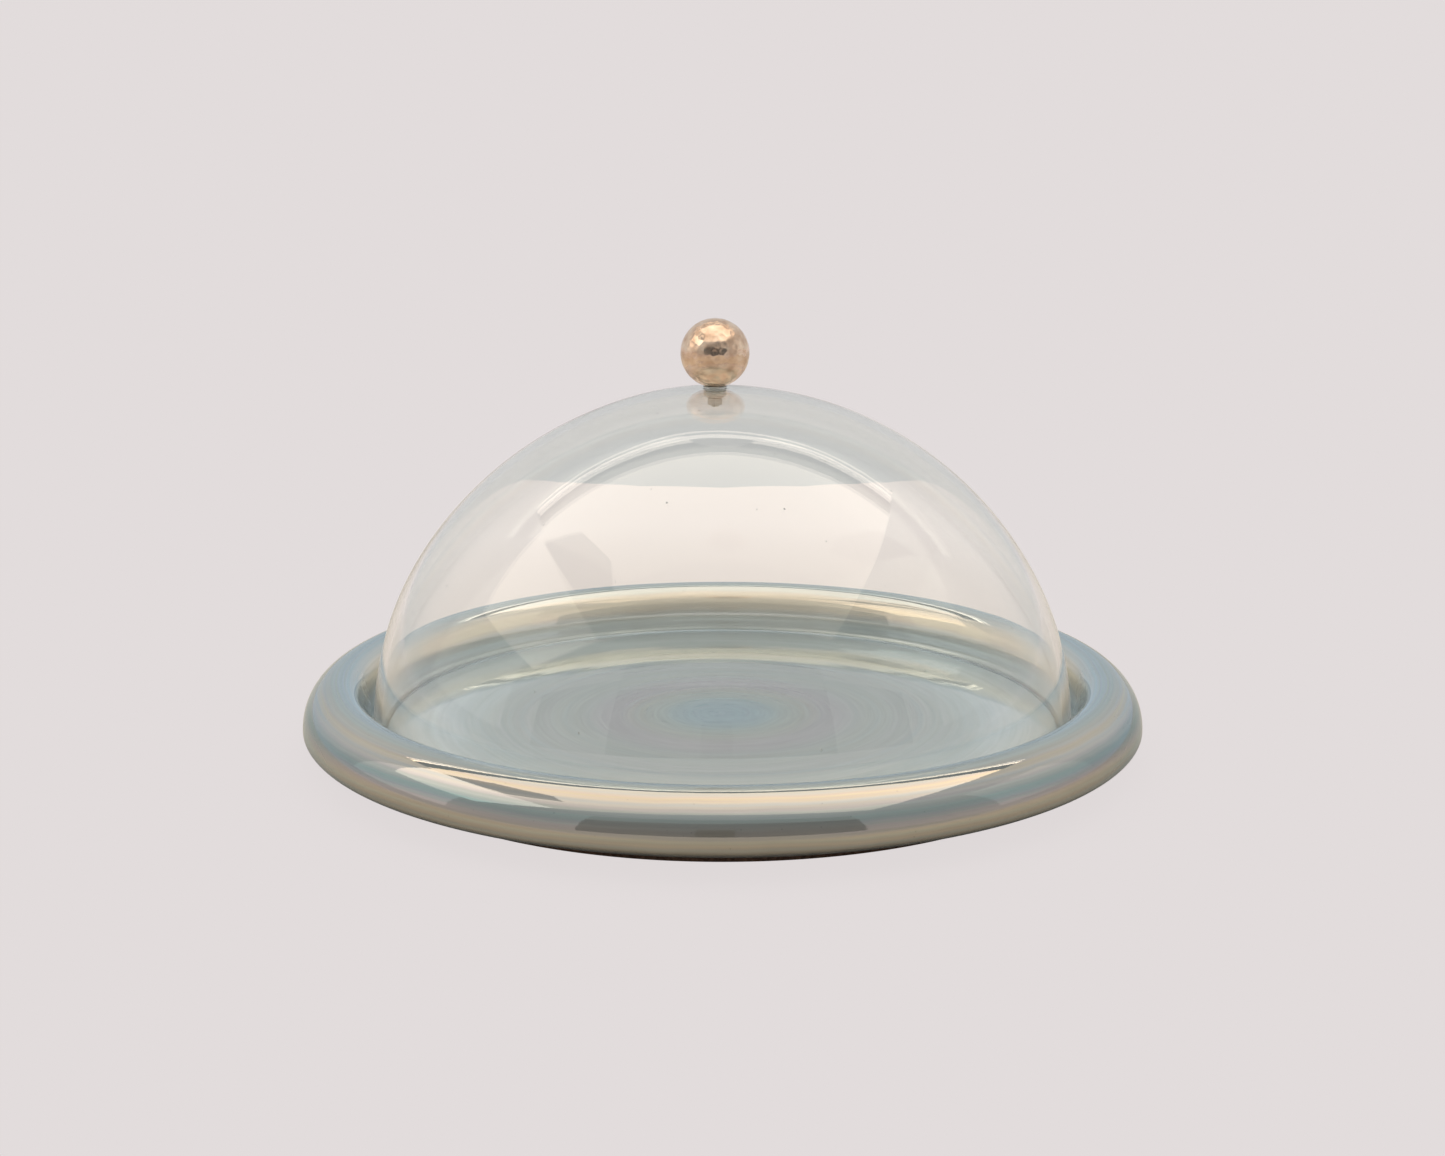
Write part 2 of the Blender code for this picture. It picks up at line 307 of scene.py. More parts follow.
def makeLights(s):
    box, warm, height, sides = s["softboxGlow"], s["softboxTint"], s["softboxHeight"], s["softboxSides"]
    edgeGlow, lipGlow = (s["edgeGlow"],) * 2, (s["lipGlow"],) * 2
    addPanel("overheadSoftbox", levelCorners(sides, s["softboxReach"], height), warm,
        (box * s["nearShare"], box), (s["leftShare"], 1.0))
    addPanel("softboxEdge", levelCorners(sides, s["edgeReach"], height), warm, edgeGlow)
    addPanel("softboxLip", levelCorners(sides, s["lipReach"], height), warm, lipGlow)
    besides = (s["sideSoftboxFar"], sides[0])
    addPanel("sideSoftbox", levelCorners(besides, s["sideSoftboxReach"], height), warm, s["sideSoftboxGlow"])
    # the rest only shows in what the object mirrors
    mirrored = {"sees": ("glossy",)}
    addPanel("softboxFrame", levelCorners(sides, s["frameReach"], height), s["frameTone"], **mirrored)
    addPanel("flag", [(x, y, s["flagHeight"]) for x, y in s["flagOutline"]], s["flagTone"], **mirrored)
    addPanel("frontGap", uprightCorners(s["gapSides"], s["gapHeights"], s["gapY"]), s["gapTone"], **mirrored)
    addPanel("frontHaze", uprightCorners(s["gapSides"], s["hazeHeights"], s["gapY"]), s["hazeTone"], **mirrored)
    roomCorners = uprightCorners(s["roomSides"], s["roomHeights"], s["roomY"])
    addPanel("roomBehindCamera", roomCorners, s["roomTone"], sees=("through",))
    reach, heights, x = s["sideWallReach"], s["sideWallHeights"], s["sideWallX"]
    addPanel("leftWall", sideCorners(reach, heights, -x), s["leftWallTone"], **mirrored)
    addPanel("rightWall", sideCorners(reach, heights, x), s["rightWallTone"], **mirrored)
    addPanel("darkCamera", uprightCorners(s["bodySides"], s["bodyHeights"], s["bodyY"]), s["bodyTone"],
        **mirrored)


def makeCamera(s):
    camera = bpy.data.cameras.new("tableCamera")
    camera.sensor_width = 36.0
    camera.lens = s["lens"]
    camera.clip_start, camera.clip_end = 0.01, 100.0
    made = bpy.data.objects.new("tableCamera", camera)
    bpy.context.scene.collection.objects.link(made)
    made.location = s["cameraPlace"]
    made.rotation_euler = (math.radians(90 - s["cameraTilt"]), 0, 0)
    bpy.context.scene.camera = made


bpy.context.scene.view_settings.view_transform = "Standard"
makeRoom(studio)
makeTable(studio)
makeWall(studio)
makeLights(studio)
makeCamera(studio)

print("stage: finishes")

# tints by distance along the turned outline from the centre, in metres
glazeTints = {
    "length": 0.210,
    "sway": 0.0014,
    "edgeTint": "#c6dcee",
    "ringScale": 420.0,
    "ringShare": 0.55,
    "ringHues": [(0.30, "#a9c3cf"), (0.42, "#c2c9c0"), (0.50, "#cdc8c3"), (0.58, "#cdbfcc"), (0.70, "#cfc9ac")],
    # slow drift of the bands, streaks round the turn, pinholes and orange peel
    "driftScale": 22.0,
    "streakStretch": (1.6, 1.6, 900.0),
    "streakTone": (0.90, 1.07),
    "streakBump": 0.02,
    "streakDepth": 0.0003,
    "pinholeScale": 230.0,
    "pinholeSize": 0.09,
    "pinholeTone": 0.72,
    "peelScale": 900.0,
    "peelBump": 0.025,
    "peelDepth": 0.0002,
    "roughness": (0.015, 0.035),
    "bodyIor": 1.55,
    # the metal skin is thinned in the angle of the rim, so the lighter body there (0.138 below) shows: painted
    # light that lifts the shade of that crevice
    "lustreShare": [
        (0.000, 0.60), (0.134, 0.60), (0.1395, 0.36), (0.1455, 0.36), (0.1495, 0.58), (0.157, 0.62),
        (0.208, 0.60),
    ],
    "body": [
        (0.000, "#bcc8cc"), (0.018, "#c0cacc"), (0.030, "#c6cac6"), (0.060, "#c8ccc8"),
        (0.100, "#c8cecc"), (0.113, "#dfe7e8"), (0.122, "#e2e8e8"), (0.130, "#ccd4d6"),
        # painted highlight: the cream at 0.152 on the inner slope below the crest
        (0.138, "#d6e1e9"), (0.146, "#c0cbd3"), (0.1520, "#f0e8da"), (0.157, "#cccfcc"),
        (0.162, "#b2bdc2"), (0.172, "#b8bcba"), (0.1800, "#acb3b2"), (0.187, "#b2aca0"),
        # painted shade: the body darkens from 0.192 towards the underside of the rim
        (0.192, "#85837e"), (0.201, "#74746f"), (0.208, "#6a6a66"),
    ],
    "lustre": [
        (0.000, "#aec4d0"), (0.018, "#b4cad2"), (0.024, "#c6d0c6"), (0.034, "#d4ccc2"),
        (0.044, "#d6c0cf"), (0.057, "#c6cfc6"), (0.075, "#cfcac9"), (0.090, "#c9d1cc"),
        (0.102, "#d3dee0"), (0.113, "#e4eef0"), (0.122, "#eef0ec"), (0.130, "#d0dadc"),
        # painted highlight: the cream from 0.1495 to 0.155 on the inner slope below the crest
        (0.1400, "#b6c4c8"), (0.1440, "#afc2cd"), (0.1475, "#b4bfc8"), (0.1495, "#f2dcbe"),
        (0.1520, "#ffe9c8"), (0.1550, "#fbe8d0"), (0.159, "#c9d0d2"), (0.1625, "#a9bcc6"),
        # partly the lustre's own interference tint, partly painted highlight: the cream and peach from 0.171 to
        # 0.1735 on the outer rim
        (0.1655, "#a6b3b6"), (0.168, "#b6bab0"), (0.1710, "#cfb6a8"), (0.1735, "#dbccb4"),
        # partly the lustre's own tint, partly painted reflection of the unlit gap in front: the dark teal at
        # 0.1812
        (0.1765, "#bab4ba"), (0.179, "#8c9f9a"), (0.1812, "#5c8894"), (0.1828, "#96939c"),
        # painted shade: the lustre darkens from 0.192 towards the underside of the rim
        (0.186, "#bcb09c"), (0.1885, "#a29c90"), (0.192, "#777672"), (0.208, "#62625f"),
    ],
}


def makeGlaze():
    # lustre-glazed stoneware: a soft blue-grey body under a metal-bright skin, whose tint runs in rings like
    # oil on water, and turns bluer where it is seen along the surface; some of its rings are painted highlight,
    # painted reflection and painted shade
    made, tree = newMaterial("lustreGlazedStoneware")
    ring = addNode(tree, "ShaderNodeUVMap", uv_map="turn")
    split = addNode(tree, "ShaderNodeSeparateXYZ", {0: ring.outputs[0]})
    place = addNode(tree, "ShaderNodeTexCoord")
    drift = addNode(tree, "ShaderNodeTexNoise",
        {"Vector": place.outputs["Object"], "Scale": glazeTints["driftScale"], "Detail": 3.0,
        "Roughness": 0.55})
    sway = remap(tree, drift.outputs[0], target=(-glazeTints["sway"], glazeTints["sway"]))
    along = mathOf(tree, "ADD", split.outputs["Y"], sway.outputs[0])
    share = mathOf(tree, "DIVIDE", along.outputs[0], glazeTints["length"])
    body = addNode(tree, "ShaderNodeValToRGB", {0: share.outputs[0]})
    setRamp(body, tinted(glazeTints["body"], glazeTints["length"]), "B_SPLINE")
    lustre = addNode(tree, "ShaderNodeValToRGB", {0: share.outputs[0]})
    setRamp(lustre, tinted(glazeTints["lustre"], glazeTints["length"]), "B_SPLINE")
    # rings left by the fingers and the brush, a few millimetres apart, drift from blue through mauve to green
    rings = addNode(tree, "ShaderNodeTexNoise", {"W": along.outputs[0], "Scale": glazeTints["ringScale"],
        "Detail": 2.0, "Roughness": 0.6}, noise_dimensions="1D")
    hue = addNode(tree, "ShaderNodeValToRGB", {0: rings.outputs[0]})
    setRamp(hue, tinted(glazeTints["ringHues"]))
    ringed = addNode(tree, "ShaderNodeMix",
        {0: glazeTints["ringShare"], 6: lustre.outputs[0], 7: hue.outputs[0]}, data_type="RGBA",
        blend_type="OVERLAY")
    # fine streaks round the turn
    angle = mathOf(tree, "MULTIPLY", split.outputs["X"], math.tau)
    cosine = mathOf(tree, "COSINE", angle.outputs[0])
    sine = mathOf(tree, "SINE", angle.outputs[0])
    streakPlace = addNode(tree, "ShaderNodeCombineXYZ",
        {0: cosine.outputs[0], 1: sine.outputs[0], 2: along.outputs[0]})
    stretched = addNode(tree, "ShaderNodeMapping",
        {"Vector": streakPlace.outputs[0], "Scale": glazeTints["streakStretch"]})
    streak = addNode(tree, "ShaderNodeTexNoise", {"Vector": stretched.outputs[0], "Scale": 1.0, "Detail": 4.0})
    streakTone = remap(tree, streak.outputs[0], (0.25, 0.75), glazeTints["streakTone"])
    # pinholes
    pins = addNode(tree, "ShaderNodeTexVoronoi",
        {"Vector": place.outputs["Object"], "Scale": glazeTints["pinholeScale"], "Randomness": 1.0})
    pinDepth = remap(tree, pins.outputs["Distance"], (0.0, glazeTints["pinholeSize"]),
        (glazeTints["pinholeTone"], 1.0))
    tone = mathOf(tree, "MULTIPLY", streakTone.outputs[0], pinDepth.outputs[0])
    skinShare = addNode(tree, "ShaderNodeValToRGB", {0: share.outputs[0]})
    setRamp(skinShare, [(v / glazeTints["length"], (k, k, k, 1)) for v, k in glazeTints["lustreShare"]],
        "B_SPLINE")
    bodyToned = addNode(tree, "ShaderNodeVectorMath", {0: body.outputs[0], 1: tone.outputs[0]},
        operation="MULTIPLY")
    lustreToned = addNode(tree, "ShaderNodeVectorMath", {0: ringed.outputs[2], 1: tone.outputs[0]},
        operation="MULTIPLY")
    rough = remap(tree, drift.outputs[0], (0.3, 0.7), glazeTints["roughness"])
    peel = addNode(tree, "ShaderNodeTexNoise",
        {"Vector": place.outputs["Object"], "Scale": glazeTints["peelScale"], "Detail": 2.0})
    bump = addNode(tree, "ShaderNodeBump",
        {"Height": peel.outputs[0], "Strength": glazeTints["peelBump"], "Distance": glazeTints["peelDepth"]})
    ripple = addNode(tree, "ShaderNodeBump", {"Height": streak.outputs[0], "Strength": glazeTints["streakBump"],
        "Distance": glazeTints["streakDepth"], "Normal": bump.outputs[0]})
    clay = addNode(tree, "ShaderNodeBsdfPrincipled", {
        "Base Color": bodyToned.outputs[0], "Roughness": rough.outputs[0], "IOR": glazeTints["bodyIor"],
        "Normal": ripple.outputs[0]})
    skin = addNode(tree, "ShaderNodeBsdfPrincipled", {
        "Base Color": lustreToned.outputs[0], "Metallic": 1.0, "Roughness": rough.outputs[0],
        "Specular Tint": linearOf(glazeTints["edgeTint"]), "Normal": ripple.outputs[0]})
    mixed = addNode(tree, "ShaderNodeMixShader",
        {0: skinShare.outputs[0], 1: clay.outputs[0], 2: skin.outputs[0]})
    addNode(tree, "ShaderNodeOutputMaterial", {"Surface": mixed.outputs[0]})
    return made


bareClayLook = {
    "gritScale": 700.0, "dark": "#4a352b", "light": "#7c5f4c", "bump": 0.4, "bumpDepth": 0.0003,
    "roughness": 0.85,
}


def makeBareClay():
    # fired stoneware left bare where it touches the kiln shelf: warm brown, matt and gritty
    made, tree = newMaterial("bareFiredStoneware")
    place = addNode(tree, "ShaderNodeTexCoord")
    grit = addNode(tree, "ShaderNodeTexNoise",
        {"Vector": place.outputs["Object"], "Scale": bareClayLook["gritScale"], "Detail": 4.0})
    tone = addNode(tree, "ShaderNodeValToRGB", {0: grit.outputs[0]})
    setRamp(tone, tinted([(0.3, bareClayLook["dark"]), (0.7, bareClayLook["light"])]))
    bump = addNode(tree, "ShaderNodeBump",
        {"Height": grit.outputs[0], "Strength": bareClayLook["bump"], "Distance": bareClayLook["bumpDepth"]})
    shader = addNode(tree, "ShaderNodeBsdfPrincipled",
        {"Base Color": tone.outputs[0], "Roughness": bareClayLook["roughness"], "Normal": bump.outputs[0]})
    addNode(tree, "ShaderNodeOutputMaterial", {"Surface": shader.outputs[0]})
    return made


glassLook = {
    "tint": "#fdfdfb", "shadowTint": "#f8f8f5", "ior": 1.5, "sheen": 0.50, "sheenRoughness": 0.30,
    "waverScale": 16.0, "waverBump": 0.10, "waverDepth": 0.0008,
    # the ring mark: its centre, the inner, top and outer radii of its ridge, and its bump
    "markPlace": (0.0105, -0.1058, 0.0913), "markRadii": (0.0040, 0.0045, 0.0051),
    "markBump": 0.35, "markDepth": 0.0004,
}


def makeGlass():
    # blown soda-lime glass, fire polished: clear, bright at the edges, a faint waver in what it mirrors
    made, tree = newMaterial("blownSodaLimeGlass")
    place = addNode(tree, "ShaderNodeTexCoord")
    waver = addNode(tree, "ShaderNodeTexNoise",
        {"Vector": place.outputs["Object"], "Scale": glassLook["waverScale"], "Detail": 2.0})
    bump = addNode(tree, "ShaderNodeBump",
        {"Height": waver.outputs[0], "Strength": glassLook["waverBump"], "Distance": glassLook["waverDepth"]})
    # the faint ring a burst bubble left in the front of the wall
    away = addNode(tree, "ShaderNodeVectorMath", {0: place.outputs["Object"], 1: glassLook["markPlace"]},
        operation="DISTANCE")
    mark = addNode(tree, "ShaderNodeValToRGB", {0: away.outputs["Value"]})
    black, white = (0, 0, 0, 1), (1, 1, 1, 1)
    inside, top, outside = glassLook["markRadii"]
    setRamp(mark, [(0.0, black), (inside, black), (top, white), (outside, black)], "EASE")
    ridge = addNode(tree, "ShaderNodeBump", {"Height": mark.outputs[0], "Strength": glassLook["markBump"],
        "Distance": glassLook["markDepth"], "Normal": bump.outputs[0]})
    glass = addNode(tree, "ShaderNodeBsdfPrincipled", {
        "Base Color": linearOf(glassLook["tint"]), "Roughness": 0.0, "IOR": glassLook["ior"],
        "Transmission Weight": 1.0,
        "Sheen Weight": glassLook["sheen"], "Sheen Roughness": glassLook["sheenRoughness"],
        "Normal": ridge.outputs[0]})
    clear = addNode(tree, "ShaderNodeBsdfTransparent", {"Color": linearOf(glassLook["shadowTint"])})
    path = addNode(tree, "ShaderNodeLightPath")
    lamp = mathOf(tree, "MAXIMUM", path.outputs["Is Shadow Ray"], path.outputs["Is Diffuse Ray"])
    mixed = addNode(tree, "ShaderNodeMixShader", {0: lamp.outputs[0], 1: glass.outputs[0], 2: clear.outputs[0]})
    addNode(tree, "ShaderNodeOutputMaterial", {"Surface": mixed.outputs[0]})
    return made


brassLook = {
    "cloudScale": 220.0, "tarnished": "#cfae94", "worn": "#e6c9b0", "bright": "#f3dcc6",
    "roughness": (0.27, 0.17), "scratchScale": 1400.0, "scratchBump": 0.12, "scratchDepth": 0.0001,
}


def makeBrass():
    # hammered brass, polished and a little rosy: bright facets, darker in random clouds of tarnish
    made, tree = newMaterial("hammeredBrass")
    place = addNode(tree, "ShaderNodeTexCoord")
    cloud = addNode(tree, "ShaderNodeTexNoise",
        {"Vector": place.outputs["Object"], "Scale": brassLook["cloudScale"], "Detail": 4.0})
    tone = addNode(tree, "ShaderNodeValToRGB", {0: cloud.outputs[0]})
    setRamp(tone, tinted([(0.32, brassLook["tarnished"]), (0.55, brassLook["worn"]),
        (0.75, brassLook["bright"])]))
    rough = remap(tree, cloud.outputs[0], (0.3, 0.7), brassLook["roughness"])
    fine = addNode(tree, "ShaderNodeTexNoise",
        {"Vector": place.outputs["Object"], "Scale": brassLook["scratchScale"], "Detail": 2.0})
    bump = addNode(tree, "ShaderNodeBump",
        {"Height": fine.outputs[0], "Strength": brassLook["scratchBump"],
        "Distance": brassLook["scratchDepth"]})
    shader = addNode(tree, "ShaderNodeBsdfPrincipled",
        {"Base Color": tone.outputs[0], "Metallic": 1.0, "Roughness": rough.outputs[0],
        "Normal": bump.outputs[0]})
    addNode(tree, "ShaderNodeOutputMaterial", {"Surface": shader.outputs[0]})
    return made


steelLook = {
    "lineStretch": (200.0, 200.0, 6000.0), "dark": "#b4b2ad", "light": "#d6d4ce", "roughness": (0.22, 0.40),
}


def makeSteel():
    # turned stainless steel: grey, satin, with fine lathe lines
    made, tree = newMaterial("turnedStainlessSteel")
    place = addNode(tree, "ShaderNodeTexCoord")
    lines = addNode(tree, "ShaderNodeMapping",
        {"Vector": place.outputs["Object"], "Scale": steelLook["lineStretch"]})
    turned = addNode(tree, "ShaderNodeTexNoise", {"Vector": lines.outputs[0], "Scale": 1.0, "Detail": 2.0})
    tone = addNode(tree, "ShaderNodeValToRGB", {0: turned.outputs[0]})
    setRamp(tone, tinted([(0.3, steelLook["dark"]), (0.7, steelLook["light"])]))
    rough = remap(tree, turned.outputs[0], target=steelLook["roughness"])
    shader = addNode(tree, "ShaderNodeBsdfPrincipled",
        {"Base Color": tone.outputs[0], "Metallic": 1.0, "Roughness": rough.outputs[0]})
    addNode(tree, "ShaderNodeOutputMaterial", {"Surface": shader.outputs[0]})
    return made


siliconeLook = {
    "cloudScale": 500.0, "dark": "#e6e8e6", "light": "#f4f5f2", "roughness": 0.35, "ior": 1.41,
    "clearness": 0.35,
}


def makeSilicone():
    # cloudy moulded silicone: soft and pale, hardly seen against the glass
    made, tree = newMaterial("cloudyMouldedSilicone")
    place = addNode(tree, "ShaderNodeTexCoord")
    cloud = addNode(tree, "ShaderNodeTexNoise",
        {"Vector": place.outputs["Object"], "Scale": siliconeLook["cloudScale"], "Detail": 2.0})
    tone = addNode(tree, "ShaderNodeValToRGB", {0: cloud.outputs[0]})
    setRamp(tone, tinted([(0.3, siliconeLook["dark"]), (0.7, siliconeLook["light"])]))
    shader = addNode(tree, "ShaderNodeBsdfPrincipled",
        {"Base Color": tone.outputs[0], "Roughness": siliconeLook["roughness"], "IOR": siliconeLook["ior"],
        "Transmission Weight": siliconeLook["clearness"]})
    addNode(tree, "ShaderNodeOutputMaterial", {"Surface": shader.outputs[0]})
    return made


glaze, bareClay, glass = makeGlaze(), makeBareClay(), makeGlass()
brass, steel, silicone = makeBrass(), makeSteel(), makeSilicone()


def ellipseArc(centre, axes, start, end, count):
    angles = np.radians(np.linspace(start, end, count + 1))
    return [(centre[0] + axes[0] * math.cos(a), centre[1] + axes[1] * math.sin(a)) for a in angles]


# a point nearer the axis than this is on it
onAxis = 1e-7


def turnedMesh(name, outline, steps, ring=False):
    # spins (r, z) points round Z; the UV map turn holds the share of a turn and the metres along the outline
    outline = np.array(outline)
    along = np.concatenate([[0], np.cumsum(np.hypot(*np.diff(outline, axis=0).T))])
    verts, rows = [], []
    for r, z in outline:
        if r < onAxis:
            rows.append([len(verts)] * steps)
            verts.append((0.0, 0.0, z))
            continue
        rows.append(list(range(len(verts), len(verts) + steps)))
        for k in range(steps):
            a = math.tau * k / steps
            verts.append((r * math.cos(a), r * math.sin(a), z))
    faces, uvs, bands = [], [], []
    count = len(outline)
    for i in range(count if ring else count - 1):
        j = (i + 1) % count
        endV = along[j] if j else along[-1] + np.hypot(*(outline[0] - outline[-1]))
        for k in range(steps):
            k2 = (k + 1) % steps
            corners = [
                (rows[i][k], k, along[i]), (rows[i][k2], k + 1, along[i]),
                (rows[j][k2], k + 1, endV), (rows[j][k], k, endV)]
            kept = []
            for c in corners:
                if all(c[0] != q[0] for q in kept):
                    kept.append(c)
            faces.append([c[0] for c in kept])
            uvs.extend((c[1] / steps, c[2]) for c in kept)
            bands.append(i)
    mesh = bpy.data.meshes.new(name)
    mesh.from_pydata(verts, [], faces)
    layer = mesh.uv_layers.new(name="turn")
    layer.data.foreach_set("uv", np.array(uvs, np.float32).ravel())
    mesh.shade_smooth()
    made = bpy.data.objects.new(name, mesh)
    bpy.context.scene.collection.objects.link(made)
    bm = bmesh.new()
    bm.from_mesh(mesh)
    if bm.calc_volume(signed=True) < 0:
        bmesh.ops.reverse_faces(bm, faces=bm.faces)
        bm.to_mesh(mesh)
    bm.free()
    return made, bands


def placesOf(made):
    co = np.empty(len(made.data.vertices) * 3)
    made.data.vertices.foreach_get("co", co)
    return co.reshape(-1, 3)


def newTree(name, inputs):
    tree = bpy.data.node_groups.new(name, "GeometryNodeTree")
    tree.is_modifier = True
    tree.interface.new_socket("Geometry", in_out="INPUT", socket_type="NodeSocketGeometry")
    for label, kind, value in inputs:
        socket = tree.interface.new_socket(label, in_out="INPUT", socket_type=kind)
        if value is not None:
            socket.default_value = value
    tree.interface.new_socket("Geometry", in_out="OUTPUT", socket_type="NodeSocketGeometry")
    return tree, tree.nodes.new("NodeGroupInput"), tree.nodes.new("NodeGroupOutput")


def applyTree(made, tree, values):
    # sets each input by its identifier, then keeps the result as a plain mesh
    modifier = made.modifiers.new(tree.name, "NODES")
    modifier.node_group = tree
    names = {
        item.name: item.identifier for item in tree.interface.items_tree
        if item.item_type == "SOCKET" and item.in_out == "INPUT"}
    for label, value in values.items():
        modifier[names[label]] = value
    bpy.context.view_layer.update()
    graph = bpy.context.evaluated_depsgraph_get()
    mesh = bpy.data.meshes.new_from_object(made.evaluated_get(graph), preserve_all_data_layers=True,
        depsgraph=graph)
    made.modifiers.clear()
    old, made.data = made.data, mesh
    mesh.name = made.name
    bpy.data.meshes.remove(old)
    return made


print("stage: platter")

platter = {
    "innerRadius": 0.1396, "crownRadius": 0.1500, "outerRadius": 0.1652, "rimHeight": 0.0296,
    "widestZ": 0.0120, "bellyZ": 0.0068, "footPull": 0.0070, "crownPull": 0.0080, "floorZ": 0.0099,
    "seatZ": 0.0094, "seatInner": 0.1334, "cornerRadius": 0.0020, "footOuter": 0.1428, "footInner": 0.1343,
    "footHeight": 0.0040, "steps": 288,
    # the seat's inner step and its level run, and where the belly stops, in degrees below level
    "seatStep": 0.0005, "seatRun": 0.0020, "bellyEnd": -82,
    # the glaze ends in a lip; the bare clay below it runs in to the foot, whose edges are worn round
    "glazeLip": 0.00035, "lipStep": 0.0006, "coveStep": 0.0015, "coveTop": 0.0062, "coveEnd": 0.0050,
    "footRound": 0.0006, "footChamfer": 0.0002,
    "floorRows": 150, "cornerRows": 10, "slopeRows": 36, "crownRows": 40, "bellyRows": 26,
    # the rings fade from the spiral's reach to this radius, where this share of their depth is left
    "ringDepth": 0.00002, "ringSpacing": 0.0082, "spiralReach": 0.020, "fadeEnd": 0.06, "fadeShare": 0.35,
    "swayDepth": 0.00020, "swayScale": 9.0, "ringWander": 3.0, "lowestRing": 0.0075,
}


def throwingRings():
    # the potter's finger marks: shallow rings that drift into a spiral at the centre, with a slow wander
    tree, source, sink = newTree("throwingRings", [
        ("Ring Depth", "NodeSocketFloat", 0.0001), ("Ring Spacing", "NodeSocketFloat", 0.006),
        ("Sway Depth", "NodeSocketFloat", 0.0003), ("Spiral Reach", "NodeSocketFloat", 0.02),
        ("Lowest Z", "NodeSocketFloat", 0.006), ("Glaze", "NodeSocketMaterial", None),
        ("Bare Clay", "NodeSocketMaterial", None)])
    place = addNode(tree, "GeometryNodeInputPosition")
    split = addNode(tree, "ShaderNodeSeparateXYZ", {0: place.outputs[0]})
    flat = addNode(tree, "ShaderNodeCombineXYZ", {0: split.outputs[0], 1: split.outputs[1]})
    radius = addNode(tree, "ShaderNodeVectorMath", {0: flat.outputs[0]}, operation="LENGTH")
    turn = mathOf(tree, "ARCTAN2", split.outputs[1], split.outputs[0])
    slow = addNode(tree, "ShaderNodeTexNoise",
        {"Vector": place.outputs[0], "Scale": platter["swayScale"], "Detail": 1.0})
    wander = mathOf(tree, "MULTIPLY", slow.outputs[0], platter["ringWander"])
    turns = mathOf(tree, "DIVIDE", radius.outputs["Value"], source.outputs["Ring Spacing"])
    phase = mathOf(tree, "MULTIPLY_ADD", turns.outputs[0], math.tau, wander.outputs[0])
    spiral = mathOf(tree, "SUBTRACT", phase.outputs[0], turn.outputs[0])
    wave = mathOf(tree, "SINE", spiral.outputs[0])
    fade = remap(tree, radius.outputs["Value"], (source.outputs["Spiral Reach"], platter["fadeEnd"]),
        (1.0, platter["fadeShare"]))
    deep = mathOf(tree, "MULTIPLY", wave.outputs[0], source.outputs["Ring Depth"])
    ringed = mathOf(tree, "MULTIPLY", deep.outputs[0], fade.outputs[0])
    centred = mathOf(tree, "SUBTRACT", slow.outputs[0], 0.5)
    sway = mathOf(tree, "MULTIPLY", centred.outputs[0], source.outputs["Sway Depth"])
    both = mathOf(tree, "ADD", ringed.outputs[0], sway.outputs[0])
    normal = addNode(tree, "GeometryNodeInputNormal")
    push = addNode(tree, "ShaderNodeVectorMath", {0: normal.outputs[0], "Scale": both.outputs[0]},
        operation="SCALE")
    upper = addNode(tree, "FunctionNodeCompare", {0: split.outputs[2], 1: source.outputs["Lowest Z"]},
        data_type="FLOAT", operation="GREATER_THAN")
    moved = addNode(tree, "GeometryNodeSetPosition",
        {"Geometry": source.outputs["Geometry"], "Selection": upper.outputs[0], "Offset": push.outputs[0]})
    real = addNode(tree, "GeometryNodeRealizeInstances", {0: moved.outputs[0]})
    glazed = addNode(tree, "GeometryNodeSetMaterial",
        {"Geometry": real.outputs[0], "Material": source.outputs["Glaze"]})
    bare = addNode(tree, "GeometryNodeInputNamedAttribute", {"Name": "bare"}, data_type="BOOLEAN")
    unglazed = addNode(tree, "GeometryNodeSetMaterial",
        {"Geometry": glazed.outputs[0], "Selection": bare.outputs[0], "Material": source.outputs["Bare Clay"]})
    tree.links.new(unglazed.outputs[0], sink.inputs[0])
    return tree


